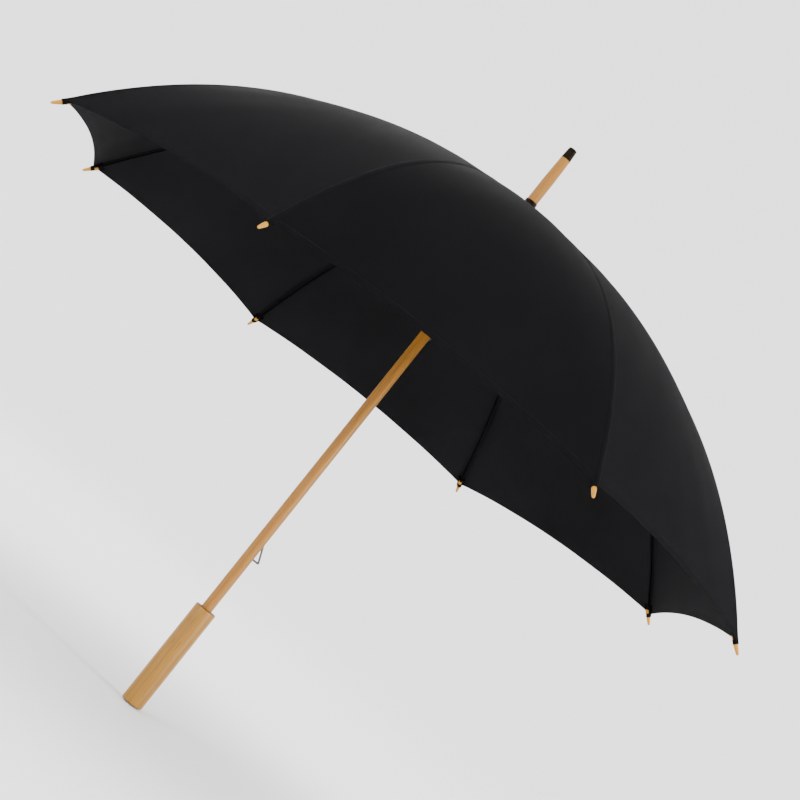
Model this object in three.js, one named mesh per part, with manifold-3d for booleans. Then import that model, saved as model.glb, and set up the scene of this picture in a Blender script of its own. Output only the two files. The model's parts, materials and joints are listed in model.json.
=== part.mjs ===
// Golf umbrella, open: a wooden shaft and handle, an eight-rib folding frame and a black panelled canopy.
// Millimetres, +Z up the shaft. The origin is the centre of the handle's flat end.
import * as THREE from 'three';
import { mergeVertices } from 'three/addons/utils/BufferGeometryUtils.js';
import Module from 'manifold-3d';

const wasm = await Module();
wasm.setup();

// ---------- driving dimensions ----------
const RIB_COUNT = 8;
const FIRST_RIB_DEG = 22.5;
const PITCH = (2 * Math.PI) / RIB_COUNT;
const HALF = PITCH / 2;

const SPAN_RADIUS = 600;          // from the axis to a rib tip's end
const HANDLE = { radius: 16.3, top: 163.8, edge: 1.6, socketFloor: 40 };
const SHAFT = { radius: 8.25, bottom: 40.3, taperFrom: 925, top: 967.5, topRadius: 7.4, tenonRadius: 5,
  tenonTop: 979 };
const CAP = { top: 985.8, baseRadius: 7.4, topRadius: 6.3, edge: 1.2, boreTop: 980.5 };
const CLEARANCE = 0.3;            // between pieces that touch on the real thing

const PIVOT_RADIUS = 12;          // wire ring radius, in the notch and in the runner
const NOTCH_PIVOT_Z = 866.5;
const LINK = 290;                 // notch pivot to rivet, and rivet to runner pivot
const LINK_DROP = 68.5;           // rivet below the notch pivot when open
const RIVET_RADIUS = PIVOT_RADIUS + Math.sqrt(LINK ** 2 - LINK_DROP ** 2);
const RIVET_Z = NOTCH_PIVOT_Z - LINK_DROP;
const RUNNER_PIVOT_Z = NOTCH_PIVOT_Z - 2 * LINK_DROP;
const FOLD_DEG = 61;              // how far each rib folds down to close
const FOLDED_ANGLE = Math.acos(LINK_DROP / LINK) - THREE.MathUtils.degToRad(FOLD_DEG);
const RUNNER_TRAVEL = 2 * LINK * Math.cos(FOLDED_ANGLE) - 2 * LINK_DROP;

const RIB = { width: 3.2, below: 1.6, above: 1.6, wall: 0.6, roof: 0.5, end: { r: 578, z: 570 }, bow: 0.38,
  steps: 14 };
const TONGUE = { thickness: 1.3, half: 1.9, length: 11, hole: 0.95, overlap: 2 };
const TIP = { end: { r: SPAN_RADIUS, z: 549.5 }, radius: 3.5, edge: 0.5, start: 4, bore: 2.5, boreDepth: 13,
  boreGap: 0.6 };
const STRETCHER = { width: 2.6, half: 1.3, start: 10, forkStart: 21, forkFull: 15, slotDepth: 14.5,
  forkInner: 1.95, forkOuter: 2.65, forkHalf: 2.2 };
const RIVET = { radius: 0.8, hole: 1.1, headRadius: 1.6, headThickness: 0.7, headInside: 2.95 };
const HUB = { outer: 15, inner: SHAFT.radius + CLEARANCE, slotFloor: 9.7, slotWidth: 2, grooveFloor: 11,
  grooveHalf: 1.1, below: 7, above: 6.5 };
const WIRE_RADIUS = 0.6;

const CANOPY = { crownZ: 878.2, crownSlope: 0.18, drop: 220, power: 3.2, hole: 10.6, seamEnd: 584,
  scallop: 9, swell: 12, swellPower: 1.6, thickness: 0.9, gap: 0.22 };
const COLLAR = { bottom: 877.4, top: 891, bottomRadius: 9.5, topRadius: 9.25 };
const RUNNER = { tubeLength: 55, tubeRadius: 11, bore: 8.85, windowHalf: 1.7, windowSill: 1.3,
  windowHeight: 25 };
const CATCH = { reach: 16.6, length: 35.8, pivotX: 2.4, tail: 5, wire: 1.6, width: 1.8, lowTipZ: 256.2,
  gapBelowRunner: 4 };
const SLOT = { width: 2.6, floorX: -5.5, pastTip: 6, pastPivot: 5 };
const CATCH_PIVOT_Z = CATCH.lowTipZ + CATCH.length;
const STOP_PIN = { z: RUNNER_PIVOT_Z + HUB.above + 3.6, radius: 0.9, halfLength: 10.2, hole: 1.2 };
const STRAP = { width: 22, from: 0.76, to: 0.95, edge: 0.97, thickness: 1, lift: 0.5, panel: 2 };
const PAST = 5;                   // how far a cutter reaches past what it cuts

// ---------- finishes ----------
function finish(color, roughness, metalness = 0) {
  return new THREE.MeshStandardMaterial({ color, roughness, metalness });
}
const BAMBOO = finish(0xbc9964, 0.45);
const SHAFT_WOOD = finish(0xb59063, 0.4);
const TIP_WOOD = finish(0xb88a4e, 0.4);
const CLOTH = finish(0x17181a, 0.75);
const BLACK_STEEL = finish(0x18191b, 0.4, 0.8);
const STEEL = finish(0x8c8c90, 0.35, 1);
const DARK_CAP = finish(0x2b190d, 0.4);
const BLACK_NYLON = finish(0x141414, 0.5);

// ---------- solids ----------
function solid(geometry) {
  const bare = geometry.clone();
  bare.deleteAttribute('normal');
  bare.deleteAttribute('uv');
  const merged = mergeVertices(bare, 1e-4);
  return new wasm.Manifold(new wasm.Mesh({
    numProp: 3,
    vertProperties: new Float32Array(merged.attributes.position.array),
    triVerts: new Uint32Array(merged.index.array),
  }));
}

function geometryOf(manifold) {
  const { vertProperties, triVerts } = manifold.getMesh();
  const geometry = new THREE.BufferGeometry();
  geometry.setAttribute('position', new THREE.BufferAttribute(new Float32Array(vertProperties), 3));
  geometry.setIndex(new THREE.BufferAttribute(new Uint32Array(triVerts), 1));
  return geometry;
}

// A closed outline, its points as (x, z), given a thickness along Y and centred on it.
function plate(outline, thickness, y = 0) {
  const geometry = new THREE.ExtrudeGeometry(new THREE.Shape(outline), {
    depth: thickness, bevelEnabled: false, steps: 1 });
  geometry.translate(0, 0, -thickness / 2);
  geometry.rotateX(Math.PI / 2);
  geometry.translate(0, y, 0);
  return geometry;
}

// The outline of a strip that follows a line of (x, z) points, `below` and `above` it.
function strip(points, below, above) {
  const upper = [];
  const lower = [];
  points.forEach((point, i) => {
    const before = points[Math.max(i - 1, 0)];
    const after = points[Math.min(i + 1, points.length - 1)];
    const into = point.clone().sub(before).normalize();
    const out = after.clone().sub(point).normalize();
    const along = into.add(out).normalize();
    const leg = (i === 0 ? out : point.clone().sub(before).normalize());
    const stretch = 1 / Math.max(along.dot(leg), 0.3);
    const normal = new THREE.Vector2(-along.y, along.x).multiplyScalar(stretch);
    upper.push(point.clone().addScaledVector(normal, above));
    lower.push(point.clone().addScaledVector(normal, -below));
  });
  return [...lower, ...upper.reverse()];
}

// A pin along Y through (x, z).
function crossPin(x, z, radius, length, segments = 10) {
  const geometry = new THREE.CylinderGeometry(radius, radius, length, segments);
  geometry.translate(x, 0, z);
  return geometry;
}

function lathe(points, segments) {
  const geometry = new THREE.LatheGeometry(points.map(([r, z]) => new THREE.Vector2(r, z)), segments);
  geometry.rotateX(Math.PI / 2);
  return geometry;
}

function block(x0, x1, y0, y1, z0, z1) {
  const geometry = new THREE.BoxGeometry(x1 - x0, y1 - y0, z1 - z0);
  geometry.translate((x0 + x1) / 2, (y0 + y1) / 2, (z0 + z1) / 2);
  return geometry;
}

// A quarter round from one direction to another, as lathe points.
function round(r, z, radius, fromDeg, toDeg, steps = 3) {
  return Array.from({ length: steps + 1 }, (_, i) => {
    const angle = THREE.MathUtils.degToRad(fromDeg + ((toDeg - fromDeg) * i) / steps);
    return [r + radius * Math.cos(angle), z + radius * Math.sin(angle)];
  });
}

function azimuthOf(number) {
  return THREE.MathUtils.degToRad(FIRST_RIB_DEG) + (number - 1) * PITCH;
}

// ---------- the rib's line and the canopy's surface, in the plane of a rib ----------
function ribZ(r) {
  const share = (r - PIVOT_RADIUS) / (RIVET_RADIUS - PIVOT_RADIUS);
  return NOTCH_PIVOT_Z - LINK_DROP * ((1 - RIB.bow) * share + RIB.bow * share ** 3);
}

function seamZ(r) {
  return CANOPY.crownZ - CANOPY.crownSlope * r - CANOPY.drop * (r / SPAN_RADIUS) ** CANOPY.power;
}

function seamSlope(r) {
  const { crownSlope, drop, power } = CANOPY;
  return -crownSlope - ((drop * power) / SPAN_RADIUS) * (r / SPAN_RADIUS) ** (power - 1);
}

// A point on half a panel, 0 to 1 from crown to hem and 0 to 1 from the seam to the panel's middle line.
// The panel swells between its ribs, and its hem curves in towards the crown there.
function panelPoint(down, across, lift, side) {
  const hem = CANOPY.seamEnd - CANOPY.scallop * (1 - (1 - across) ** 2);
  const r = CANOPY.hole + (hem - CANOPY.hole) * down;
  const halfChord = r * Math.sin(HALF);
  const along = CANOPY.gap + (halfChord - 2 * CANOPY.gap) * across;
  const swell = CANOPY.swell * Math.sin(Math.PI * down ** CANOPY.swellPower) * across * (2 - across);
  const vertical = (lift + swell) * Math.hypot(1, seamSlope(r));
  return new THREE.Vector3(r - along * Math.sin(HALF), side * along * Math.cos(HALF), seamZ(r) + vertical);
}

// A closed sheet: a grid of top points and the same grid below it.
function sheet(rows, columns, pointAt, thickness, flip) {
  const positions = [];
  for (const lift of [0, -thickness]) {
    for (let i = 0; i <= rows; i += 1) {
      for (let j = 0; j <= columns; j += 1) {
        positions.push(...pointAt(i / rows, j / columns, lift).toArray());
      }
    }
  }
  const layer = (rows + 1) * (columns + 1);
  const at = (i, j, k) => k * layer + i * (columns + 1) + j;
  const index = [];
  const quad = (a, b, c, d) => index.push(...(flip ? [a, c, b, a, d, c] : [a, b, c, a, c, d]));
  for (let i = 0; i < rows; i += 1) {
    for (let j = 0; j < columns; j += 1) {
      quad(at(i, j, 0), at(i + 1, j, 0), at(i + 1, j + 1, 0), at(i, j + 1, 0));
      quad(at(i, j, 1), at(i, j + 1, 1), at(i + 1, j + 1, 1), at(i + 1, j, 1));
    }
  }
  for (let i = 0; i < rows; i += 1) {
    quad(at(i, 0, 0), at(i, 0, 1), at(i + 1, 0, 1), at(i + 1, 0, 0));
    quad(at(i, columns, 0), at(i + 1, columns, 0), at(i + 1, columns, 1), at(i, columns, 1));
  }
  for (let j = 0; j < columns; j += 1) {
    quad(at(0, j, 0), at(0, j + 1, 0), at(0, j + 1, 1), at(0, j, 1));
    quad(at(rows, j, 0), at(rows, j, 1), at(rows, j + 1, 1), at(rows, j + 1, 0));
  }
  const geometry = new THREE.BufferGeometry();
  geometry.setAttribute('position', new THREE.Float32BufferAttribute(positions, 3));
  geometry.setIndex(index);
  return geometry;
}

// ---------- pieces ----------
function handle() {
  const { radius, top, edge, socketFloor } = HANDLE;
  const socket = SHAFT.radius + CLEARANCE;
  const inset = radius - edge;
  return lathe([[0, 0], ...round(inset, edge, edge, -90, 0), ...round(inset, top - edge, edge, 0, 90),
    [socket, top], [socket, socketFloor], [0, socketFloor]], 36);
}

function shaft() {
  const { radius, bottom, taperFrom, top, topRadius, tenonRadius, tenonTop } = SHAFT;
  const turned = lathe([[0, bottom], [radius, bottom], [radius, taperFrom], [topRadius, top],
    [tenonRadius, top], [tenonRadius, tenonTop], [0, tenonTop]], 40);
  const [side, depth] = [SLOT.width / 2, radius + PAST];
  const slot = (z0, z1) => solid(block(SLOT.floorX, depth, -side, side, z0, z1));
  const pinHole = new THREE.CylinderGeometry(STOP_PIN.hole, STOP_PIN.hole, 4 * SHAFT.radius, 16);
  pinHole.rotateZ(Math.PI / 2);
  pinHole.translate(0, 0, STOP_PIN.z);
  const [low, high] = [CATCH.lowTipZ - SLOT.pastTip, CATCH_PIVOT_Z + SLOT.pastPivot];
  const mirror = topCatchMirror();
  return geometryOf(solid(turned)
    .subtract(slot(low, high))
    .subtract(slot(mirror - high, mirror - low))
    .subtract(solid(pinHole)));
}

function stopPin() {
  const { radius, halfLength } = STOP_PIN;
  const geometry = new THREE.CylinderGeometry(radius, radius, 2 * halfLength, 14);
  geometry.rotateZ(Math.PI / 2);
  geometry.translate(0, 0, STOP_PIN.z);
  return geometry;
}

// The top catch is the bottom catch turned end for end, with its step just under the open runner.
function topCatchMirror() {
  const runnerBottom = RUNNER_PIVOT_Z - RUNNER.tubeLength;
  return runnerBottom - CATCH.gapBelowRunner - CATCH.wire / 2 + CATCH.lowTipZ;
}

function springCatch(mirrorZ) {
  const line = [[CATCH.pivotX, CATCH_PIVOT_Z], [CATCH.reach, CATCH.lowTipZ], [CATCH.tail, CATCH.lowTipZ]]
    .map(([x, z]) => new THREE.Vector2(x, mirrorZ === undefined ? z : mirrorZ - z));
  return plate(strip(line, CATCH.wire / 2, CATCH.wire / 2), CATCH.width);
}

// A hub for one ring of tongues: a turned body, a groove for the wire and a slot for each tongue.
function hub(profile, pivotZ) {
  let body = solid(lathe(profile, 48));
  for (let number = 1; number <= RIB_COUNT; number += 1) {
    const cut = block(HUB.slotFloor, HUB.outer + PAST, -HUB.slotWidth / 2, HUB.slotWidth / 2,
      pivotZ - HUB.below - 0.01, pivotZ + HUB.above + PAST);
    cut.rotateZ(azimuthOf(number));
    body = body.subtract(solid(cut));
  }
  return body;
}

function grooved(pivotZ) {
  return [[HUB.outer, pivotZ - HUB.grooveHalf], [HUB.grooveFloor, pivotZ - HUB.grooveHalf],
    [HUB.grooveFloor, pivotZ + HUB.grooveHalf], [HUB.outer, pivotZ + HUB.grooveHalf]];
}

function notch() {
  const [bottom, top] = [NOTCH_PIVOT_Z - HUB.below, NOTCH_PIVOT_Z + HUB.above];
  return geometryOf(hub([[HUB.inner, bottom], [HUB.outer, bottom], ...grooved(NOTCH_PIVOT_Z),
    [HUB.outer, top], [HUB.inner, top], [HUB.inner, bottom]], NOTCH_PIVOT_Z));
}

function runner() {
  const [shoulder, top] = [RUNNER_PIVOT_Z - HUB.below, RUNNER_PIVOT_Z + HUB.above];
  const bottom = RUNNER_PIVOT_Z - RUNNER.tubeLength;
  const body = hub([[RUNNER.bore, bottom], [RUNNER.tubeRadius, bottom], [RUNNER.tubeRadius, shoulder],
    [HUB.outer, shoulder], ...grooved(RUNNER_PIVOT_Z), [HUB.outer, top], [RUNNER.bore, top],
    [RUNNER.bore, bottom]], RUNNER_PIVOT_Z);
  const { windowHalf, windowSill, windowHeight } = RUNNER;
  const sill = CATCH.lowTipZ - windowSill + RUNNER_TRAVEL;
  const window = block(0, HUB.outer + PAST, -windowHalf, windowHalf, sill, sill + windowHeight);
  return geometryOf(body.subtract(solid(window)));
}

function wireRing(z) {
  const geometry = new THREE.TorusGeometry(PIVOT_RADIUS, WIRE_RADIUS, 6, 32);
  geometry.translate(0, 0, z);
  return geometry;
}

function collar() {
  const { bottom, top, bottomRadius, topRadius } = COLLAR;
  return lathe([[HUB.inner, bottom], [bottomRadius, bottom], [topRadius, top], [HUB.inner, top],
    [HUB.inner, bottom]], 48);
}

function ferruleCap() {
  const { top, baseRadius, topRadius, edge, boreTop } = CAP;
  const bore = SHAFT.tenonRadius + CLEARANCE;
  const bottom = SHAFT.top + CLEARANCE;
  return lathe([[bore, bottom], [baseRadius, bottom], ...round(topRadius - edge, top - edge, edge, 10, 90),
    [0, top], [0, boreTop], [bore, boreTop], [bore, bottom]], 48);
}

function ribLine() {
  const start = PIVOT_RADIUS + TONGUE.length - 1;
  const points = Array.from({ length: RIB.steps + 1 }, (_, i) => {
    const r = start + ((RIB.end.r - start) * i) / RIB.steps;
    return new THREE.Vector2(r, ribZ(r));
  });
  return [...points, tipPoint(TIP.start + TIP.boreDepth - TIP.boreGap)];
}

// A point on a rib tip's axis, so many millimetres past the rib's end.
function tipPoint(distance) {
  const start = new THREE.Vector2(RIB.end.r, RIB.end.z);
  const end = new THREE.Vector2(TIP.end.r, TIP.end.z);
  return start.addScaledVector(end.sub(start).normalize(), distance);
}

// A flat tongue with a round, pierced end at (x, z), pointing along a direction in the rib's plane.
function tongue(x, z, directionRad) {
  const outline = [];
  for (let deg = 90; deg <= 270; deg += 30) {
    const angle = directionRad + THREE.MathUtils.degToRad(deg);
    const [dx, dz] = [TONGUE.half * Math.cos(angle), TONGUE.half * Math.sin(angle)];
    outline.push(new THREE.Vector2(x + dx, z + dz));
  }
  const along = new THREE.Vector2(Math.cos(directionRad), Math.sin(directionRad));
  const normal = new THREE.Vector2(-along.y, along.x);
  const far = new THREE.Vector2(x, z).addScaledVector(along, TONGUE.length + TONGUE.overlap);
  outline.push(far.clone().addScaledVector(normal, -STRETCHER.half));
  outline.push(far.clone().addScaledVector(normal, STRETCHER.half));
  return solid(plate(outline, TONGUE.thickness)).subtract(solid(crossPin(x, z, TONGUE.hole, PAST)));
}

function rib() {
  const line = ribLine();
  const outer = solid(plate(strip(line, RIB.below, RIB.above), RIB.width));
  const channelLine = strip(line.slice(1), RIB.below + 1, RIB.above - RIB.roof);
  const channel = solid(plate(channelLine, RIB.width - 2 * RIB.wall));
  const rivetHole = solid(crossPin(RIVET_RADIUS, RIVET_Z, RIVET.hole, 2 * RIB.width));
  const slope = Math.atan2(line[1].y - NOTCH_PIVOT_Z, line[1].x - PIVOT_RADIUS);
  const eye = tongue(PIVOT_RADIUS, NOTCH_PIVOT_Z, slope);
  return geometryOf(outer.subtract(channel).subtract(rivetHole).add(eye));
}

// A bar along X from the runner's wire: a pierced tongue at its start, a fork over the rib at its end.
function stretcher() {
  const { width, half, start, forkStart, forkFull, slotDepth, forkInner, forkOuter, forkHalf } = STRETCHER;
  const barEnd = LINK - (forkStart + forkFull) / 2;
  const barOutline = [[start, -half], [barEnd, -half], [barEnd, half], [start, half]];
  const bar = solid(plate(barOutline.map(([x, z]) => new THREE.Vector2(x, z)), width));
  const forkOutline = [[LINK - forkStart, -half], [LINK - forkFull, -forkHalf],
    ...round(LINK, 0, forkHalf, -90, 90, 6), [LINK - forkFull, forkHalf], [LINK - forkStart, half]];
  const fork = solid(plate(forkOutline.map(([x, z]) => new THREE.Vector2(x, z)), 2 * forkOuter))
    .subtract(solid(block(LINK - slotDepth, LINK + PAST, -forkInner, forkInner, -PAST, PAST)))
    .subtract(solid(crossPin(LINK, 0, RIVET.hole, 4 * forkOuter)));
  return geometryOf(bar.add(fork).add(tongue(0, 0, 0)));
}

function rivet() {
  const headX = RIVET.headInside + RIVET.headThickness / 2;
  const head = (y) => {
    const geometry = crossPin(RIVET_RADIUS, RIVET_Z, RIVET.headRadius, RIVET.headThickness);
    geometry.translate(0, y, 0);
    return solid(geometry);
  };
  const shankLength = 2 * RIVET.headInside + RIVET.headThickness;
  const shank = solid(crossPin(RIVET_RADIUS, RIVET_Z, RIVET.radius, shankLength));
  return geometryOf(shank.add(head(headX)).add(head(-headX)));
}

function ribTip() {
  const length = Math.hypot(TIP.end.r - RIB.end.r, TIP.end.z - RIB.end.z) - TIP.start;
  const { radius, edge, bore, boreDepth } = TIP;
  const geometry = lathe([[bore, 0], [radius - edge, 0], [radius, edge],
    ...round(0, length - radius, radius, 0, 90, 3).slice(0, -1), [0, length], [0, boreDepth],
    [bore, boreDepth], [bore, 0]], 12);
  geometry.rotateY(Math.PI / 2 + Math.atan2(RIB.end.z - TIP.end.z, TIP.end.r - RIB.end.r));
  const start = tipPoint(TIP.start);
  geometry.translate(start.x, 0, start.y);
  return geometry;
}

function halfPanel(side) {
  const pointAt = (down, across, lift) => panelPoint(down, across, lift, side);
  return sheet(10, 3, pointAt, CANOPY.thickness, side < 0);
}

function tieStrap() {
  const across = (down) => 1 - STRAP.width / (down * CANOPY.seamEnd * Math.sin(HALF));
  const pointAt = (i, j, lift) => {
    const down = STRAP.from + (STRAP.to - STRAP.from) * i;
    const share = across(down) + (STRAP.edge - across(down)) * j;
    return panelPoint(down, share, STRAP.lift + STRAP.thickness + lift, 1);
  };
  return sheet(6, 1, pointAt, STRAP.thickness, false);
}

// ---------- assembly ----------
const umbrella = new THREE.Group();

function add(parent, name, geometry, material) {
  const mesh = new THREE.Mesh(geometry, material);
  mesh.name = name;
  parent.add(mesh);
  return mesh;
}

add(umbrella, 'handle', handle(), BAMBOO);
add(umbrella, 'shaft', shaft(), SHAFT_WOOD);
add(umbrella, 'ferrule_cap', ferruleCap(), DARK_CAP);
add(umbrella, 'crown_collar', collar(), DARK_CAP);
add(umbrella, 'notch', notch(), BLACK_NYLON);
add(umbrella, 'notch_wire', wireRing(NOTCH_PIVOT_Z), STEEL);
add(umbrella, 'stop_pin', stopPin(), STEEL);
add(umbrella, 'runner', runner(), BLACK_NYLON);
add(umbrella, 'runner_wire', wireRing(RUNNER_PIVOT_Z), STEEL);
add(umbrella, 'bottom_catch', springCatch(), STEEL);
add(umbrella, 'top_catch', springCatch(topCatchMirror()), STEEL);

const [ribShape, stretcherShape, rivetShape, tipShape] = [rib(), stretcher(), rivet(), ribTip()];
const stretcherTilt = Math.atan2(LINK_DROP, RIVET_RADIUS - PIVOT_RADIUS);

for (let number = 1; number <= RIB_COUNT; number += 1) {
  const spoke = new THREE.Group();
  spoke.rotation.z = azimuthOf(number);
  umbrella.add(spoke);
  add(spoke, `rib_${number}`, ribShape, BLACK_STEEL);
  add(spoke, `rib_rivet_${number}`, rivetShape, STEEL);
  add(spoke, `rib_tip_${number}`, tipShape, TIP_WOOD);
  const link = add(spoke, `stretcher_${number}`, stretcherShape, BLACK_STEEL);
  link.rotation.y = -stretcherTilt;
  link.position.set(PIVOT_RADIUS, 0, RUNNER_PIVOT_Z);
  // Panel n lies between ribs n and n + 1: its left half starts at rib n, its right half at rib n + 1.
  const before = number === 1 ? RIB_COUNT : number - 1;
  add(spoke, `panel_${number}_left`, halfPanel(1), CLOTH);
  add(spoke, `panel_${before}_right`, halfPanel(-1), CLOTH);
  if (number === STRAP.panel) add(spoke, 'tie_strap', tieStrap(), CLOTH);
}

export default umbrella;
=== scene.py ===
# %% [markdown]
# # A golf umbrella in cloth, wood and steel
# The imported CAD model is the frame: it says where every hinge, hub and rib is, and it never moves.
# This script builds the pieces that are seen around it, finer than the CAD has them: the canopy's panels and
# their seams, the sticks and their varnish, the fluted steel ribs. Everything is in metres, +Z up the shaft.

# %% Load the frame
import json
import math

import bmesh
import bpy
import numpy as np
from mathutils import Matrix, Vector


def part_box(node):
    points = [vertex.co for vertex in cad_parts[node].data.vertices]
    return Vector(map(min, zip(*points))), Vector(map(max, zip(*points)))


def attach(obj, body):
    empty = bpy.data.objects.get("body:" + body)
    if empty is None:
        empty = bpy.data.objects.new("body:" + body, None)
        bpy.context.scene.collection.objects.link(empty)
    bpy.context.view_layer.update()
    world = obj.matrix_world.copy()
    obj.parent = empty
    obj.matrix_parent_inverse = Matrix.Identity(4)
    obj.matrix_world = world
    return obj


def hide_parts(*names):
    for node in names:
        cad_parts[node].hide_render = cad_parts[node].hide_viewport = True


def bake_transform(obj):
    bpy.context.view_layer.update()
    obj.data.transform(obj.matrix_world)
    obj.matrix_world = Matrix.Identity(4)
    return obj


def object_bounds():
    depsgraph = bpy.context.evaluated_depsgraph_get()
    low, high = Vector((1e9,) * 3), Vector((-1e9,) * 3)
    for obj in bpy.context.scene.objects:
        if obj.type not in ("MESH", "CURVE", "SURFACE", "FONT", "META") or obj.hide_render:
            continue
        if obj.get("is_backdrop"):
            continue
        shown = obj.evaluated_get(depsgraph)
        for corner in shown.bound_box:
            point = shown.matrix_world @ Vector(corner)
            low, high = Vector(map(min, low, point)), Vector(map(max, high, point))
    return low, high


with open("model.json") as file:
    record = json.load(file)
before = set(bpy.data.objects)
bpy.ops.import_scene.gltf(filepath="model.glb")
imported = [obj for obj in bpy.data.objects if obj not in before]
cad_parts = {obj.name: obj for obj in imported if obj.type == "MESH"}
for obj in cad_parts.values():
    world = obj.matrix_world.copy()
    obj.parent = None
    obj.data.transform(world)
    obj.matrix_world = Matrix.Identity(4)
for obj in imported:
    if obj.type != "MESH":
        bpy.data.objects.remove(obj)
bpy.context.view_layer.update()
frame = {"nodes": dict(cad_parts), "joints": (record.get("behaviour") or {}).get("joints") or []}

joints = {joint["name"]: joint for joint in frame["joints"]}

# %% [markdown]
# Every size starts from the frame. The hinge pins say where the notch, the rivets and the runner are, and the
# boxes of a few nodes give the sticks. The rest are the real object's small sizes, such as a stitch.

# %% Driving sizes
MM = 0.001
RIBS = 8
PITCH = 2 * math.pi / RIBS
HALF = PITCH / 2


def radius_and_height(joint_name):
    x, y, z = joints[joint_name]["pos_m"]
    return math.hypot(x, y), z


pivot_r, notch_z = radius_and_height("canopy_fold")
rivet_r, rivet_z = radius_and_height("stretcher_1_hinge")
runner_z = radius_and_height("runner_hinge")[1]
first_rib = math.atan2(joints["canopy_fold"]["pos_m"][1], joints["canopy_fold"]["pos_m"][0])
span_r = 600 * MM
crown_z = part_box("panel_1_left")[1].z
shaft_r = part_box("shaft")[1].x
print(f"notch {notch_z:.4f}, rivets {rivet_r:.4f} at {rivet_z:.4f}, runner {runner_z:.4f}, crown {crown_z:.4f}")

# %% [markdown]
# ## The view
# The camera stands about 2.4 m off, a little below the middle of the canopy, and is rolled until the shaft
# climbs to the right. A long lens keeps the ribs' foreshortening gentle. Shift is small, so that the other
# views, which keep it, still hold the whole umbrella.

# %% Camera
def placed(name, data):
    """A new object in the scene."""
    made = bpy.data.objects.new(name, data)
    bpy.context.scene.collection.objects.link(made)
    return made


camera_data = bpy.data.cameras.new("camera")
camera_data.lens = 76.5
camera_data.sensor_width = 36
camera_data.shift_x = 0.0775
camera_data.shift_y = 0.0367
camera_data.clip_end = 100
camera = placed("camera", camera_data)
bpy.context.scene.camera = camera

CAMERA_PLACE = Vector((-0.0823, -2.353, 0.3201))
CAMERA_FORWARD = Vector((0.0294, 0.9975, 0.0638)).normalized()
CAMERA_UP = Vector((-0.6256, -0.0314, 0.7795))
camera_right = CAMERA_FORWARD.cross(CAMERA_UP).normalized()
camera_up = camera_right.cross(CAMERA_FORWARD)
camera.matrix_world = Matrix.Translation(CAMERA_PLACE) @ Matrix(
    (camera_right, camera_up, -CAMERA_FORWARD)).transposed().to_4x4()

# %% [markdown]
# ## Finishes
# A finish is a small tree of shader nodes. Written as node calls it is unreadable, so `Wire` wraps a socket and
# lets Python's own operators add the Math nodes. `Finish` starts from a Principled shader with its constants set
# straight on the sockets, and only what really varies over the surface is linked.

# %% Shader helpers
class Wire:
    """An output of a shader node, which + and * combine through Math nodes."""

    def __init__(self, finish, socket):
        self.finish, self.socket = finish, socket

    def maths(self, operation, *values):
        return self.finish.node("ShaderNodeMath", {"operation": operation}, dict(enumerate(values)))

    def __add__(self, other): return self.maths("ADD", self, other)
    def __radd__(self, other): return self.maths("ADD", other, self)
    def __mul__(self, other): return self.maths("MULTIPLY", self, other)
    def __rmul__(self, other): return self.maths("MULTIPLY", other, self)
    def sine(self): return self.maths("SINE", self)

    def between(self, low, high):
        """0 where this is under low, 1 where it is over high, and straight between them."""
        return self.finish.node("ShaderNodeMapRange", {"clamp": True},
                                {"Value": self, "From Min": low, "From Max": high})


class Finish:
    """A material around one Principled shader."""

    def __init__(self, name, **constants):
        self.material = bpy.data.materials.new(name)
        self.material.use_nodes = True
        self.tree = self.material.node_tree
        self.shader = self.tree.nodes["Principled BSDF"]
        for socket, value in constants.items():
            self.shader.inputs[socket.replace("_", " ")].default_value = value

    def node(self, kind, settings, inputs, output=0):
        made = self.tree.nodes.new(kind)
        for key, value in settings.items():
            if key == "stops":
                self.set_stops(made.color_ramp, value)
            else:
                setattr(made, key, value)
        for key, value in inputs.items():
            if isinstance(value, Wire):
                self.tree.links.new(value.socket, made.inputs[key])
            else:
                made.inputs[key].default_value = value
        return Wire(self, made.outputs[output])

    @staticmethod
    def set_stops(ramp, stops):
        while len(ramp.elements) < len(stops):
            ramp.elements.new(0.5)
        for element, (place, colour) in zip(ramp.elements, stops):
            element.position, element.color = place, (*colour, 1)

    def place(self, scale=(1, 1, 1)):
        """Object coordinates in metres, stretched by scale."""
        where = self.node("ShaderNodeTexCoord", {}, {}, "Object")
        return self.node("ShaderNodeMapping", {}, {"Vector": where, "Scale": scale})

    def noise(self, scale, detail=3, roughness=0.55, distortion=0.0, vector=None):
        vector = vector or self.place(scale)
        return self.node("ShaderNodeTexNoise", {}, {"Vector": vector, "Scale": 1.0, "Detail": detail,
                                                     "Roughness": roughness, "Distortion": distortion})

    def ramp(self, value, stops):
        return self.node("ShaderNodeValToRGB", {"stops": stops}, {"Fac": value})

    def mix(self, share, first, second):
        return self.node("ShaderNodeMix", {"data_type": "RGBA"}, {0: share, 6: first, 7: second}, 2)

    def drive(self, socket, wire):
        self.tree.links.new(wire.socket, self.shader.inputs[socket])

    def bump(self, height, distance, strength=1.0):
        normal = self.node("ShaderNodeBump", {}, {"Height": height, "Distance": distance, "Strength": strength})
        self.drive("Normal", normal)


def linear(red, green, blue):
    """A colour given as 0 to 255 screen values, made linear."""
    def one(value):
        share = value / 255
        return share / 12.92 if share <= 0.04045 else ((share + 0.055) / 1.055) ** 2.4
    return one(red), one(green), one(blue)
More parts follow.
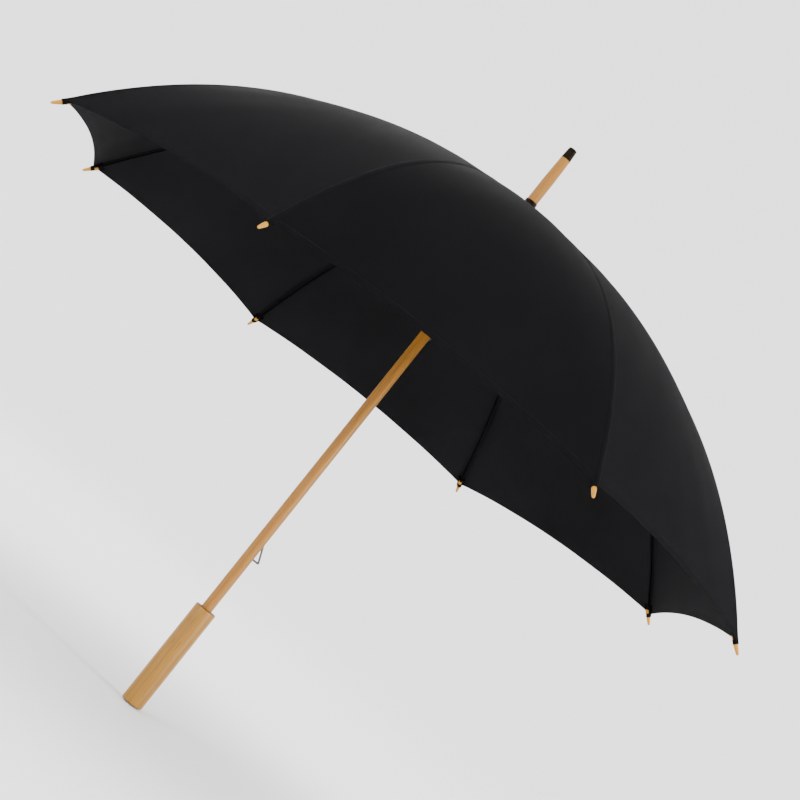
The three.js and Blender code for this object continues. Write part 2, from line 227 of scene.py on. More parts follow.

# %% [markdown]
# ** Canopy cloth** is a black water-repellent plain weave. Up close the threads cross every half millimetre, and
# from afar it is a soft, dull black that catches light where it bends away. Each panel has its own UV map in
# metres, so the threads run with the panel's middle line however the panel is turned. Its underside is a lighter
# copy of the cloth: painted light on the shaded inside of the canopy. The sewing thread is a little lighter too.

# %% Canopy cloth
def canopy_cloth(name="canopy cloth", base=(10, 10, 11), thread=0.6 * MM):
    cloth = Finish(name, Roughness=0.6, Specular_IOR_Level=0.004)
    uv = cloth.node("ShaderNodeUVMap", {"uv_map": "cut"}, {})
    parts = cloth.node("ShaderNodeSeparateXYZ", {}, {"Vector": uv}).socket.node
    across, along = Wire(cloth, parts.outputs["X"]), Wire(cloth, parts.outputs["Y"])
    turns = 2 * math.pi / thread
    weave = (across * turns).sine() * (along * turns).sine()
    cloudy = cloth.noise((5, 5, 5), detail=4)
    stretched = cloth.node("ShaderNodeMapping", {}, {"Vector": uv, "Scale": (900, 40, 1)})
    slubs = cloth.noise(None, detail=2, vector=stretched)
    dark, light = linear(*base), linear(*(value * 1.45 for value in base))
    shade = (cloudy * 0.6 + slubs * 0.4).between(0.3, 0.72)
    cloth.drive("Base Color", cloth.mix(shade, (*dark, 1), (*light, 1)))
    cloth.drive("Roughness", cloudy * 0.16 + 0.5)
    cloth.bump(weave * 0.5 + slubs * 0.6, 0.08 * MM, 0.5)
    return cloth.material


CLOTH = canopy_cloth()
# The underside's lighter cloth is painted light for the shaded inside of the canopy.
UNDERSIDE_PAINTED_LIGHT = canopy_cloth("canopy cloth underside painted light", (17, 17, 18))
THREAD = canopy_cloth("sewing thread", (20, 21, 22), 0.3 * MM)

# %% [markdown]
# ** Wood.** The handle is laminated bamboo: straight pale fibres, thin strips a few millimetres wide that differ a
# little in tone, and short dark flecks where the vascular bundles were cut. The shaft is a plainer stick, redder and
# darker in broad streaks. All of it follows the length, so the noise is squeezed across and stretched along Z. The
# rims of the handle's two ends are darkened with painted shade.

# %% Wood finishes
# Painted shade darkens the handle over these distances before each end.
RIM_FROM, RIM_TO = 1.3 * MM, 0.5 * MM


def wood(name, pale, warm, dark, fibre, streak, fleck_share, coat, ends=None):
    stick = Finish(name, Roughness=0.42, Specular_IOR_Level=0.18, Coat_Weight=coat, Coat_Roughness=0.3)
    fibres = stick.noise((fibre, fibre, fibre * 0.022), detail=4, roughness=0.6)
    streaks = stick.noise((streak, streak, streak * 0.02), detail=2, distortion=0.3)
    bands = stick.noise((streak * 2.4, streak * 2.4, streak * 0.012), detail=0)
    flecks = stick.noise((fibre * 0.8, fibre * 0.8, fibre * 0.05), detail=1)
    between = tuple(a * 0.35 + b * 0.65 for a, b in zip(warm, pale))
    palest = tuple(value * 1.1 for value in pale)
    tone = stick.ramp(streaks * 0.55 + bands * 0.45, [(0.3, between), (0.5, pale), (0.7, palest)])
    grained = stick.mix(fibres.between(0.42, 0.7) * 0.4, tone, (*warm, 1))
    marks = flecks.between(0.66, 0.78) * fleck_share
    colour = stick.mix(marks, grained, (*dark, 1))
    # Painted shade on the handle's end rims: it darkens from 1.3 mm to 0.5 mm before each end and is full on the end
    # faces.
    if ends:
        height = stick.node("ShaderNodeSeparateXYZ", {}, {"Vector": stick.place()}, "Z")
        bottom, top = ends
        painted_rim_shade = height.between(top - RIM_FROM, top - RIM_TO) + height.between(bottom + RIM_FROM, bottom + RIM_TO)
        colour = stick.mix(painted_rim_shade * 0.8, colour, (*dark, 1))
    stick.drive("Base Color", colour)
    stick.drive("Roughness", fibres * 0.25 + 0.28)
    stick.bump(fibres * 0.7 + marks * -0.6, 0.12 * MM, 0.6)
    return stick.material


BAMBOO = wood("handle bamboo", linear(140, 100, 38), linear(98, 60, 16), linear(76, 42, 12), 900, 150, 0.7, 0.03,
              (0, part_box("handle")[1].z))
SHAFT_WOOD = wood("shaft wood", linear(141, 95, 31), linear(88, 45, 8), linear(72, 38, 8), 1100, 110, 0.5, 0.03)
TIP_WOOD = wood("rib tip wood", linear(168, 116, 20), linear(140, 84, 8), linear(92, 54, 8), 1500, 260, 0.4, 0.05)

# %% [markdown]
# **Metal and dark parts.** Wires, rivets and catches are drawn steel, a mid grey with faint lines along it. The ribs
# and stretchers are steel under a thin black enamel. The collar and the end cap are dark brown, nearly black, and
# the two hubs are moulded nylon with a very fine skin.

# %% Metal, enamel, cap and nylon finishes
def drawn_steel():
    steel = Finish("spring steel", Metallic=1.0, Roughness=0.3)
    lines = steel.noise((2500, 2500, 90), detail=2)
    steel.drive("Base Color", steel.ramp(lines, [(0.3, (0.05, 0.05, 0.052)), (0.7, (0.12, 0.12, 0.122))]))
    steel.drive("Roughness", lines * 0.3 + 0.16)
    return steel.material


def enamel():
    black = Finish("black enamel on steel", Specular_IOR_Level=0.03)
    mottle = black.noise((300, 300, 300), detail=3)
    worn = black.noise((60, 60, 60), detail=4).between(0.62, 0.75)
    black.drive("Base Color", black.mix(worn * 0.35, (0.0015, 0.0015, 0.0017, 1), (0.012, 0.011, 0.01, 1)))
    black.drive("Roughness", mottle * 0.2 + 0.24)
    black.bump(mottle, 0.03 * MM, 0.4)
    return black.material


def dark_cap(name, dark, light):
    cap = Finish(name, Specular_IOR_Level=0.04)
    mottle = cap.noise((160, 160, 60), detail=4)
    rings = cap.noise((40, 40, 1400), detail=1)
    cap.drive("Base Color", cap.ramp(mottle, [(0.35, dark), (0.68, light)]))
    cap.drive("Roughness", mottle * 0.2 + 0.28)
    cap.bump(rings * 0.5 + mottle * 0.3, 0.05 * MM, 0.4)
    return cap.material


def nylon():
    hub = Finish("moulded nylon", Specular_IOR_Level=0.12)
    skin = hub.noise((2200, 2200, 2200), detail=2)
    hub.drive("Base Color", hub.ramp(skin, [(0.3, (0.003, 0.003, 0.003)), (0.7, (0.006, 0.006, 0.006))]))
    hub.drive("Roughness", skin * 0.2 + 0.36)
    hub.bump(skin, 0.05 * MM, 0.35)
    return hub.material


STEEL = drawn_steel()
ENAMEL = enamel()
COLLAR = dark_cap("crown collar brown", linear(14, 5, 2), linear(28, 10, 4))
END_CAP = dark_cap("ferrule cap brown", linear(9, 6, 2), linear(20, 13, 4))
NYLON = nylon()
print("finishes:", sorted(material.name for material in bpy.data.materials))

# %% [markdown]
# ## Making pieces
# A few helpers do what most pieces need: a mesh from points and faces, a turned solid from a profile, and a
# finished piece with its body and the CAD node that it stands for.

# %% Piece helpers
def mesh_object(name, points, faces=(), edges=(), material=None):
    mesh = bpy.data.meshes.new(name)
    mesh.from_pydata([tuple(p) for p in points], edges, faces)
    mesh.update()
    made = placed(name, mesh)
    if material:
        mesh.materials.append(material)
    return made


def smooth(piece, sharp_deg=35):
    """Smooth shading, broken where two faces meet more sharply than sharp_deg."""
    piece.data.polygons.foreach_set("use_smooth", [True] * len(piece.data.polygons))
    shell = bmesh.new()
    shell.from_mesh(piece.data)
    limit = math.radians(sharp_deg)
    for edge in shell.edges:
        edge.smooth = not (len(edge.link_faces) == 2 and edge.calc_face_angle(0) > limit)
    shell.to_mesh(piece.data)
    shell.free()
    return piece


def outward(piece):
    """Merges doubled points and turns every face out."""
    shell = bmesh.new()
    shell.from_mesh(piece.data)
    bmesh.ops.remove_doubles(shell, verts=shell.verts, dist=1e-6)
    bmesh.ops.recalc_face_normals(shell, faces=shell.faces)
    shell.to_mesh(piece.data)
    shell.free()
    return piece


def turned(name, profile, material, sides=96):
    """A solid of revolution about Z from (radius, height) points. Points on the axis become poles."""
    points, rings, faces = [], [], []
    for r, z in profile:
        if r < 1e-7:
            rings.append([len(points)] * sides)
            points.append((0, 0, z))
        else:
            rings.append(list(range(len(points), len(points) + sides)))
            points += [(r * math.cos(2 * math.pi * k / sides), r * math.sin(2 * math.pi * k / sides), z)
                       for k in range(sides)]
    for lower, upper in zip(rings, rings[1:]):
        for k in range(sides):
            n = (k + 1) % sides
            corners = list(dict.fromkeys([lower[k], lower[n], upper[n], upper[k]]))
            if len(corners) > 2:
                faces.append(corners)
    return smooth(outward(mesh_object(name, points, faces, material=material)))


def arc(r, z, radius, from_deg, to_deg, steps=6):
    """Points of a round edge, as (radius, height)."""
    angles = [math.radians(from_deg + (to_deg - from_deg) * k / steps) for k in range(steps + 1)]
    return [(r + radius * math.cos(a), z + radius * math.sin(a)) for a in angles]


def grid_faces(rows, columns, closed=False):
    """The quads of a grid of points laid row by row. A closed grid's last column meets its first."""
    width, faces = columns if closed else columns + 1, []
    for i in range(rows):
        here, above = i * width, (i + 1) * width
        for j in range(columns):
            n = (j + 1) % width
            faces.append((here + j, here + n, above + n, above + j))
    return faces


def area_of(piece):
    return sum(face.area for face in piece.data.polygons)


def moved(piece, matrix):
    piece.data.transform(matrix)
    return piece


def fix(piece, body, slot, *nodes):
    """The piece rides on a body and stands for CAD nodes, which it hides. Its slot is not used."""
    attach(piece, body)
    if nodes:
        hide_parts(*nodes)
    return piece


def joined(name, pieces):
    """Joins separate solids of one piece into one mesh object."""
    whole = bmesh.new()
    for piece in pieces:
        whole.from_mesh(piece.data)
    made = mesh_object(name, [])
    whole.to_mesh(made.data)
    whole.free()
    for material in pieces[0].data.materials:
        made.data.materials.append(material)
    for piece in pieces:
        bpy.data.objects.remove(piece)
    return made


def baked(piece):
    """Applies the piece's modifiers. Its object stays at the origin."""
    evaluated = piece.evaluated_get(bpy.context.evaluated_depsgraph_get())
    plain = bpy.data.meshes.new_from_object(evaluated)
    piece.modifiers.clear()
    old = piece.data
    piece.data = plain
    bpy.data.meshes.remove(old)
    return piece


def spoke(number):
    """Turns a piece made in the plane of X and Z into the plane of that rib."""
    return Matrix.Rotation(first_rib + (number - 1) * PITCH, 4, "Z")


def around(source, name, body):
    """One copy of a steel piece in every rib's plane, on that rib's or stretcher's own body."""
    for number in range(1, RIBS + 1):
        copy = placed(f"{name}_{number}", source.data.copy())
        fix(moved(copy, spoke(number)), f"{body}_{number}", "black_steel", f"{body}_{number}")
    bpy.data.objects.remove(source)
    return copy

# %% [markdown]
# Wire, strip and channel are one outline carried along a line, so `swept` lays the outline square to the line at
# every point. Flat steel parts are cut from sheet, so `plate` fills outlines and rounds their edges. It works in
# millimetres and is scaled down after, because Blender's fill loses points that lie closer than a micrometre.

# %% Swept and plate helpers
def swept(name, line, outline, material):
    """A closed outline of (v, y) points carried along (x, z) points. v is square to the line and y is across it."""
    points, count = [], len(outline)
    for k, (x, z) in enumerate(line):
        before, after = line[max(k - 1, 0)], line[min(k + 1, len(line) - 1)]
        along = Vector((after[0] - before[0], after[1] - before[1])).normalized()
        points += [(x - along.y * v, y, z + along.x * v) for v, y in outline]
    ends = [tuple(range(count)), tuple(range(len(points) - count, len(points)))]
    faces = grid_faces(len(line) - 1, count, closed=True) + ends
    return smooth(outward(mesh_object(name, points, faces, material=material)))


def rounded_box(height, width, radius, steps=4):
    """The (v, y) outline of a rounded rectangle."""
    corners = [(height / 2 - radius, width / 2 - radius, 0), (radius - height / 2, width / 2 - radius, 90),
               (radius - height / 2, radius - width / 2, 180), (height / 2 - radius, radius - width / 2, 270)]
    return [point for v, y, start in corners for point in arc(v, y, radius, start, start + 90, steps)]


def rounded_line(points, radius, steps=8):
    """A line of (x, z) points whose inner corners are replaced with arcs of about that radius."""
    line = [points[0]]
    for before, corner, after in zip(points, points[1:], points[2:]):
        a, c, b = Vector(before), Vector(corner), Vector(after)
        start, end = c + (a - c).normalized() * radius, c + (b - c).normalized() * radius
        for k in range(steps + 1):
            t = k / steps
            line.append(tuple(start * (1 - t) ** 2 + c * 2 * t * (1 - t) + end * t ** 2))
    return [*line, points[-1]]


def circle(x, z, radius, steps=20):
    angles = [2 * math.pi * k / steps for k in range(steps)]
    return [(x + radius * math.cos(angle), z + radius * math.sin(angle)) for angle in angles]


def plate(name, outlines, thickness, edge, material, y=0.0):
    """Flat sheet along X and Z, cut to outlines (holes too), with round edges. It is centred on y."""
    curve = bpy.data.curves.new(name, "CURVE")
    curve.dimensions, curve.fill_mode, curve.bevel_resolution = "2D", "BOTH", 1
    curve.extrude, curve.bevel_depth, curve.offset = (thickness / 2 - edge) / MM, edge / MM, -edge / MM
    for outline in outlines:
        spline = curve.splines.new("POLY")
        spline.points.add(len(outline) - 1)
        for point, (x, z) in zip(spline.points, outline):
            point.co = (x / MM, z / MM, 0, 1)
        spline.use_cyclic_u = True
    drawn = placed(name, curve)
    mesh = bpy.data.meshes.new_from_object(drawn.evaluated_get(bpy.context.evaluated_depsgraph_get()))
    bpy.data.objects.remove(drawn)
    mesh.transform(Matrix.Translation((0, y, 0)) @ Matrix.Rotation(math.pi / 2, 4, "X") @ Matrix.Scale(MM, 4))
    mesh.materials.clear()
    mesh.materials.append(material)
    return smooth(outward(placed(name, mesh)), 30)

# %% [markdown]
# Every seam and hem is held by a row of stitches, thousands of them, all alike. A Geometry Nodes tree lays them:
# it resamples a line at the stitch length and puts one short thread at each step, turned along the line. What it
# makes is kept as a plain mesh.

# %% Stitch tree
def stitch_tree():
    tree = bpy.data.node_groups.new("stitches", "GeometryNodeTree")
    kinds = {"Geometry": "Geometry", "Pitch": "Float", "Length": "Float", "Thickness": "Float", "Seed": "Int",
             "Material": "Material"}
    ids = {key: tree.interface.new_socket(key, in_out="INPUT", socket_type="NodeSocket" + kind).identifier
           for key, kind in kinds.items()}
    tree.interface.new_socket("Geometry", in_out="OUTPUT", socket_type="NodeSocketGeometry")
    given, result = tree.nodes.new("NodeGroupInput").outputs, tree.nodes.new("NodeGroupOutput")

    def node(kind, settings, inputs):
        made = tree.nodes.new(kind)
        for key, value in settings.items():
            setattr(made, key, value)
        for key, value in inputs.items():
            if isinstance(value, bpy.types.NodeSocket):
                tree.links.new(value, made.inputs[key])
            else:
                made.inputs[key].default_value = value
        return made.outputs

    path = node("GeometryNodeMeshToCurve", {}, {"Mesh": given["Geometry"]})["Curve"]
    steps = node("GeometryNodeCurveToPoints", {"mode": "LENGTH"}, {"Curve": path, "Length": given["Pitch"]})
    thread = node("GeometryNodeMeshCylinder", {},
                  {"Vertices": 5, "Radius": given["Thickness"], "Depth": given["Length"]})
    uneven = node("FunctionNodeRandomValue", {"data_type": "FLOAT"},
                  {"Min": 0.88, "Max": 1.08, "Seed": given["Seed"]})[1]
    turn = node("FunctionNodeAlignRotationToVector", {"axis": "Z"}, {"Vector": steps["Tangent"]})["Rotation"]
    laid = node("GeometryNodeInstanceOnPoints", {}, {"Points": steps["Points"], "Instance": thread["Mesh"],
                                                     "Rotation": turn, "Scale": uneven})["Instances"]
    real = node("GeometryNodeRealizeInstances", {}, {"Geometry": laid})["Geometry"]
    done = node("GeometryNodeSetMaterial", {}, {"Geometry": real, "Material": given["Material"]})["Geometry"]
    tree.links.new(done, result.inputs["Geometry"])
    return tree, ids


STITCH_TREE, STITCH_IDS = stitch_tree()
STITCH_PITCH, STITCH_LENGTH, THREAD_RADIUS = 3.2 * MM, 2.5 * MM, 0.22 * MM


def stitched(name, lines, seed):
    """Rows of stitches along lines of points, as one plain mesh."""
    points, edges = [], []
    for line in lines:
        edges += [(len(points) + k, len(points) + k + 1) for k in range(len(line) - 1)]
        points += line
    rows = mesh_object(name, points, edges=edges)
    modifier = rows.modifiers.new("stitches", "NODES")
    modifier.node_group = STITCH_TREE
    values = {"Pitch": STITCH_PITCH, "Length": STITCH_LENGTH, "Thickness": THREAD_RADIUS, "Seed": seed,
              "Material": THREAD}
    for key, value in values.items():
        modifier[STITCH_IDS[key]] = value
    rows.update_tag()
    bpy.context.view_layer.update()
    return smooth(baked(rows), 60)

# %% [markdown]
# ## Handle, shaft, collar and end cap
# The handle is a plain cylinder whose flat ends have a small round edge. Turning it from a profile gives a true
# round edge that catches a line of light. The shaft is turned too, narrows a little towards the ferrule, and its two
# catch slots and the hole for the stop pin are cut with booleans.

# %% Handle
handle_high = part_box("handle")[1]
handle_r, handle_top = handle_high.x, handle_high.z
EDGE, BARREL_SWELL, SOCKET_FLOOR = 1.7 * MM, 0.12 * MM, 0.04
socket_r = shaft_r + 0.3 * MM
barrel = [(handle_r + BARREL_SWELL * math.sin(math.pi * k / 12), EDGE + (handle_top - 2 * EDGE) * k / 12)
          for k in range(1, 12)]
handle = turned("handle", [
    (0, 0), (handle_r * 0.55, 0), *arc(handle_r - EDGE, EDGE, EDGE, -90, 0), *barrel,
    *arc(handle_r - EDGE, handle_top - EDGE, EDGE, 0, 90), (socket_r + 0.6 * MM, handle_top),
    (socket_r, handle_top - 0.6 * MM), (socket_r, SOCKET_FLOOR), (0, SOCKET_FLOOR)], BAMBOO, 128)
fix(handle, "frame", "handle_bamboo", "handle")
print(f"handle {2000 * handle_r:.1f} x {1000 * handle_top:.1f} mm")

# %% Shaft
shaft_low, shaft_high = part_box("shaft")
cap_low, cap_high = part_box("ferrule_cap")
shaft_shoulder = cap_low.z - 0.3 * MM
TAPER_FROM, SHOULDER_R, TENON_R = 925 * MM, 7.4 * MM, 5 * MM
shaft = turned("shaft", [
    (0, shaft_low.z), (shaft_r - 0.4 * MM, shaft_low.z), (shaft_r, shaft_low.z + 0.4 * MM),
    *[(shaft_r, 0.05 + (TAPER_FROM - 0.05) * k / 24) for k in range(25)],
    *[(shaft_r + (SHOULDER_R - shaft_r) * (k / 6) ** 1.4, TAPER_FROM + (shaft_shoulder - TAPER_FROM) * k / 6)
      for k in range(1, 7)],
    (TENON_R, shaft_shoulder), (TENON_R, shaft_high.z - 0.4 * MM), (TENON_R - 0.4 * MM, shaft_high.z),
    (0, shaft_high.z)], SHAFT_WOOD, 96)


def box_cutter(name, low, high):
    corners = [(x, y, z) for x in (low[0], high[0]) for y in (low[1], high[1]) for z in (low[2], high[2])]
    faces = [(0, 1, 3, 2), (4, 6, 7, 5), (0, 4, 5, 1), (2, 3, 7, 6), (0, 2, 6, 4), (1, 5, 7, 3)]
    return outward(mesh_object(name, corners, faces))


def cut(piece, *cutters):
    for cutter in cutters:
        modifier = piece.modifiers.new("cut", "BOOLEAN")
        modifier.operation, modifier.object, modifier.solver = "DIFFERENCE", cutter, "EXACT"
    baked(piece)
    for cutter in cutters:
        bpy.data.objects.remove(cutter)
    return piece


SLOT_HALF, SLOT_FLOOR, SLOT_OUT, SLOT_SPARE = 1.3 * MM, -5.5 * MM, 12 * MM, 4.5 * MM
slots = []
for catch_node in ("bottom_catch", "top_catch"):
    low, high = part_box(catch_node)
    slots.append(box_cutter("slot", (SLOT_FLOOR, -SLOT_HALF, low.z - SLOT_SPARE),
                            (SLOT_OUT, SLOT_HALF, high.z + SLOT_SPARE)))
PIN_HOLE_R, PIN_HOLE_HALF = 1.2 * MM, 0.02
pin_low, pin_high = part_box("stop_pin")
lay_pin = Matrix.Translation((0, 0, (pin_low.z + pin_high.z) / 2)) @ Matrix.Rotation(math.pi / 2, 4, "Y")
pin_hole = moved(turned("pin hole", [(0, -PIN_HOLE_HALF), (PIN_HOLE_R, -PIN_HOLE_HALF), (PIN_HOLE_R, PIN_HOLE_HALF),
                                     (0, PIN_HOLE_HALF)], None, 24), lay_pin)
smooth(cut(shaft, *slots, pin_hole), 30)
fix(shaft, "frame", "shaft_wood", "shaft")

# %% Collar and end cap
collar_low, collar_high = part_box("crown_collar")
collar_r = collar_high.x
LIP = 0.35 * MM
collar = turned("crown_collar", [
    (socket_r, collar_low.z), (collar_r - 0.1 * MM, collar_low.z),
    *arc(collar_r - 0.5 * MM, collar_low.z + 1.2 * MM, 0.5 * MM, -60, 0, 3),
    (collar_r - 0.15 * MM, collar_high.z - 4 * MM), (collar_r - 0.42 * MM, collar_high.z - 3.4 * MM),
    (collar_r - 0.2 * MM, collar_high.z - 2.8 * MM), *arc(collar_r - 0.65 * MM, collar_high.z - LIP, LIP, 0, 90, 4),
    (socket_r, collar_high.z), (socket_r, collar_low.z)], COLLAR)
fix(collar, "frame", "dark_cap", "crown_collar")

cap_r, cap_top = cap_high.x, cap_high.z
CAP_EDGE, CAP_TOP_R = 1.3 * MM, 6.3 * MM
bore_r = TENON_R + 0.3 * MM
end_cap = turned("ferrule_cap", [
    (bore_r, cap_low.z), (cap_r - 0.3 * MM, cap_low.z), (cap_r, cap_low.z + 0.3 * MM),
    (cap_r - 0.3 * MM, cap_low.z + 5 * MM), (cap_r - 0.62 * MM, cap_low.z + 10 * MM),
    *arc(CAP_TOP_R - CAP_EDGE, cap_top - CAP_EDGE, CAP_EDGE, 4, 90, 6), (0, cap_top), (0, cap_top - 5.3 * MM),
    (bore_r, cap_top - 5.3 * MM), (bore_r, cap_low.z)], END_CAP)
fix(end_cap, "frame", "dark_cap", "ferrule_cap")
print(f"ferrule from {1000 * collar_high.z:.1f} to {1000 * cap_top:.1f} mm")

# %% [markdown]
# ## Canopy
# The open canopy is a cone at the crown that bends over into a dome: each seam drops to a rib tip, ever steeper.
# Between two seams the cloth swells about a centimetre, and the hem curves in. Each panel is two halves that share
# its middle line, the line a real panel folds along when the ribs close.

# %% Canopy surface
SEAM_Z = 878.5 * MM
CROWN_SLOPE, CROWN_DROP, CROWN_POWER = 0.18, 220 * MM, 3.2
SCALLOP, SWELL, SWELL_POWER = 9 * MM, 12 * MM, 1.6
CROWN_HOLE, CORNER_R = 9.8 * MM, 590 * MM


def seam_height(r):
    return SEAM_Z - CROWN_SLOPE * r - CROWN_DROP * (r / span_r) ** CROWN_POWER


def cloth_point(across, down, side=1, lift=0.0):
    """A point of the half panel beside the rib along X: across is 0 on the seam and 1 on the middle line."""
    hem = CORNER_R - SCALLOP * (1 - (1 - across) ** 2)
    r = CROWN_HOLE + (hem - CROWN_HOLE) * down
    along = r * math.sin(HALF) * across
    swell = SWELL * math.sin(math.pi * max(down, 0) ** SWELL_POWER) * across * (2 - across)
    ripple = 0.3 * MM * math.sin(11 * across + 23 * down) * math.sin(math.pi * across) * down
    sewn_down = 1.6 * MM * (max(0, 1 - across / 0.08) * max(0, (down - 0.97) / 0.03)) ** 2
    slope = CROWN_SLOPE + CROWN_DROP * CROWN_POWER / span_r * (r / span_r) ** (CROWN_POWER - 1)
    off = (lift + swell + ripple - sewn_down) / math.hypot(1, slope)
    x, y = r - along * math.sin(HALF), along * math.cos(HALF)
    out = 1 + off * slope / math.hypot(x, y)
    return Vector((x * out, side * y * out, seam_height(r) + off))


def half_panel_node(number, side):
    """The half panel after a rib is its panel's left half, and the one before it is the last panel's right half."""
    return f"panel_{number}_left" if side > 0 else f"panel_{RIBS if number == 1 else number - 1}_right"


def blended(piece):
    """Bakes the placement of a cloth piece beside a rib into its mesh."""
    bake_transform(piece)


def cut_pattern(piece, flat_points):
    """Each point's place on the flat cloth, in metres, as a UV map."""
    layer = piece.data.uv_layers.new(name="cut")
    for loop in piece.data.loops:
        layer.data[loop.index].uv = flat_points[loop.vertex_index]


def thickened(piece, thickness, offset=0):
    """Cloth of a real thickness. A second material, if the piece has one, goes on its other face."""
    solid = piece.modifiers.new("cloth", "SOLIDIFY")
    solid.thickness, solid.offset = thickness, offset
    solid.material_offset = len(piece.data.materials) - 1
    return baked(piece)

# %% [markdown]
# A seam is two panels' edges laid together and folded, so a raised band about 4 mm wide runs beside it on each half,
# and the hem is a band of doubled cloth. Both are pressed into the mesh as a small rise, with rows of vertices close
# enough together to keep its edge. The cloth itself is 0.35 mm thick.

# %% Half panels
ROWS, COLUMNS = ((96, 34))
CLOTH_THICK, BAND_RISE = 0.35 * MM, 0.35 * MM
SEAM_BAND, HEM_BAND = 4 * MM, 9 * MM
SEAM_ROW, HEM_ROW = 2.2 * MM, 6.5 * MM
PANEL_LENGTH, PANEL_HALF_WIDTH, PANEL_AREA = 0.71, 0.23, 0.0735


def band(distance, width):
    """1 on a band, falling to 0 over its last fifth."""
    share = min(max((width - distance) / (0.2 * width), 0), 1)
    return share * share * (3 - 2 * share)


def half_panel(name, number, side):
    """The half panel after its rib (side 1) or before it (side -1), with its cut pattern as a UV map in metres."""
    marks = sorted([0, 0.5 * MM, SEAM_BAND * 0.8, SEAM_BAND, SEAM_BAND * 1.5])
    downs = sorted([*[k / ROWS for k in range(ROWS + 1)], *[1 - d / PANEL_LENGTH for d in
                    (0.8 * HEM_BAND, HEM_BAND, 1.0 * MM)]])
    points, pattern = [], []
    for down in downs:
        half_width = max(CROWN_HOLE, (CORNER_R * down)) * math.sin(HALF)
        near = [min(mark / half_width, 0.2 + 0.05 * k) for k, mark in enumerate(marks)]
        rest = [near[-1] + (1 - near[-1]) * ((k + 1) / COLUMNS) for k in range(COLUMNS)]
        for across in [*near, *rest]:
            distance = across * half_width
            rise = BAND_RISE * max(band(distance, SEAM_BAND), band((1 - down) * PANEL_LENGTH, HEM_BAND))
            points.append(cloth_point(across, down, side, rise))
            pattern.append((side * distance, down * PANEL_LENGTH))
    faces = [(a, d, c, b) if side > 0 else (b, c, d, a)
             for a, b, c, d in grid_faces(len(downs) - 1, len(marks) + COLUMNS - 1)]
    panel = mesh_object(name, points, faces, material=CLOTH)
    cut_pattern(panel, pattern)
    moved(panel, spoke(number))
    # The inner face gets the lighter cloth: painted light.
    panel.data.materials.append(UNDERSIDE_PAINTED_LIGHT)
    area = area_of(panel)
    return smooth(thickened(panel, CLOTH_THICK, -1), 50), area


def stitch_lines(number, side):
    """A row of stitches along the seam and one along the hem, each just above the cloth."""
    lift = BAND_RISE + 0.1 * MM
    seam = [cloth_point(SEAM_ROW / (max(CORNER_R * k / 60, 0.02) * math.sin(HALF)), k / 60, side, lift)
            for k in range(3, 60)]
    hem = [cloth_point(k / 30, 1 - HEM_ROW / PANEL_LENGTH, side, lift) for k in range(1, 31)]
    return [[spoke(number) @ point for point in line] for line in (seam, hem)]


for number in range(1, RIBS + 1):
    for side in (1, -1):
        node = half_panel_node(number, side)
        panel, area = half_panel(f"canopy_{node}", number, side)
        stitches = stitched(f"stitches_{node}", stitch_lines(number, side), seed=number)
        blended(panel)
        blended(stitches)
        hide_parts(node)
print(f"half panel: area {area:.4f} m2, {len(panel.data.polygons)} faces;",
      f"stitches {len(stitches.data.polygons)} faces")

# %% [markdown]
# ## Ribs
# A golf umbrella's rib is fluted steel: a strip folded into a channel 3.2 mm wide, open downwards, far stiffer than a
# wire of the same weight. The line of the rib is the CAD's. At the crown end it is pressed into a flat pierced eye,
# which hangs on the notch's wire.

# %% Ribs
RIB_END, TIP_END = Vector((578 * MM, 570 * MM)), Vector((600 * MM, 549.5 * MM))
RIB_BOW = 0.38
tip_way = (TIP_END - RIB_END).normalized()


def rib_height(r):
    share = (r - pivot_r) / (rivet_r - pivot_r)
    return notch_z - (notch_z - rivet_z) * ((1 - RIB_BOW) * share + RIB_BOW * share ** 3)


def channel(width, height, wall, radius):
    """The (v, y) outline of a channel that opens downwards, with a round back."""
    outer = [(v, y) for y, v in arc(width / 2 - radius, height / 2 - radius, radius, 0, 90, 5)]
    inside = width / 2 - wall
    bend = 0.6 * inside
    inner = [(v, y) for y, v in arc(inside - bend, height / 2 - wall - bend, bend, 0, 90, 3)]
    right = [(-height / 2, width / 2), *outer]
    left = [(v, -y) for v, y in reversed(right)]
    mirrored = [(v, -y) for v, y in inner]
    return [*right, *left, (-height / 2, -inside), *mirrored, *reversed(inner), (-height / 2, inside)]


def eye(x, z, angle):
    """A pierced round end 1.3 mm thick, with a neck that runs into the channel."""
    turn = Matrix.Rotation(angle, 2)
    half, hole, neck, shoulder = 1.9 * MM, 0.95 * MM, 14 * MM, 5 * MM
    outline = [(neck, -1.2 * MM), (neck, 1.2 * MM), (shoulder, 1.3 * MM), *arc(0, 0, half, 60, 300, 16),
               (shoulder, -1.3 * MM)]
    place = [tuple(turn @ Vector(point) + Vector((x, z))) for point in outline]
    return plate("eye", [place, circle(x, z, hole)], 1.3 * MM, 0.2 * MM, ENAMEL)


rib_line = [(r, rib_height(r)) for r in np.linspace(pivot_r + 10 * MM, RIB_END.x, 70)]
rib_line += [tuple(RIB_END + tip_way * d * MM) for d in (4, 9, 16)]
rib_slope = math.atan2(rib_line[0][1] - notch_z, rib_line[0][0] - pivot_r)
rib_parts = [swept("rib", rib_line, channel(3.2 * MM, 3.2 * MM, 0.6 * MM, 1.1 * MM), ENAMEL),
             eye(pivot_r, notch_z, rib_slope)]
last_rib = around(joined("rib", rib_parts), "fluted_rib", "rib")
print(f"rib: {len(last_rib.data.polygons)} faces, from r {1000 * pivot_r:.0f} to {1000 * RIB_END.x:.0f} mm")

# %% [markdown]
# ## Stretchers and rivets
# Each stretcher is the same kind of channel, a little finer. Its outer end is widened into a fork that straddles the
# rib and is riveted through it. Its inner end is an eye on the runner's wire.

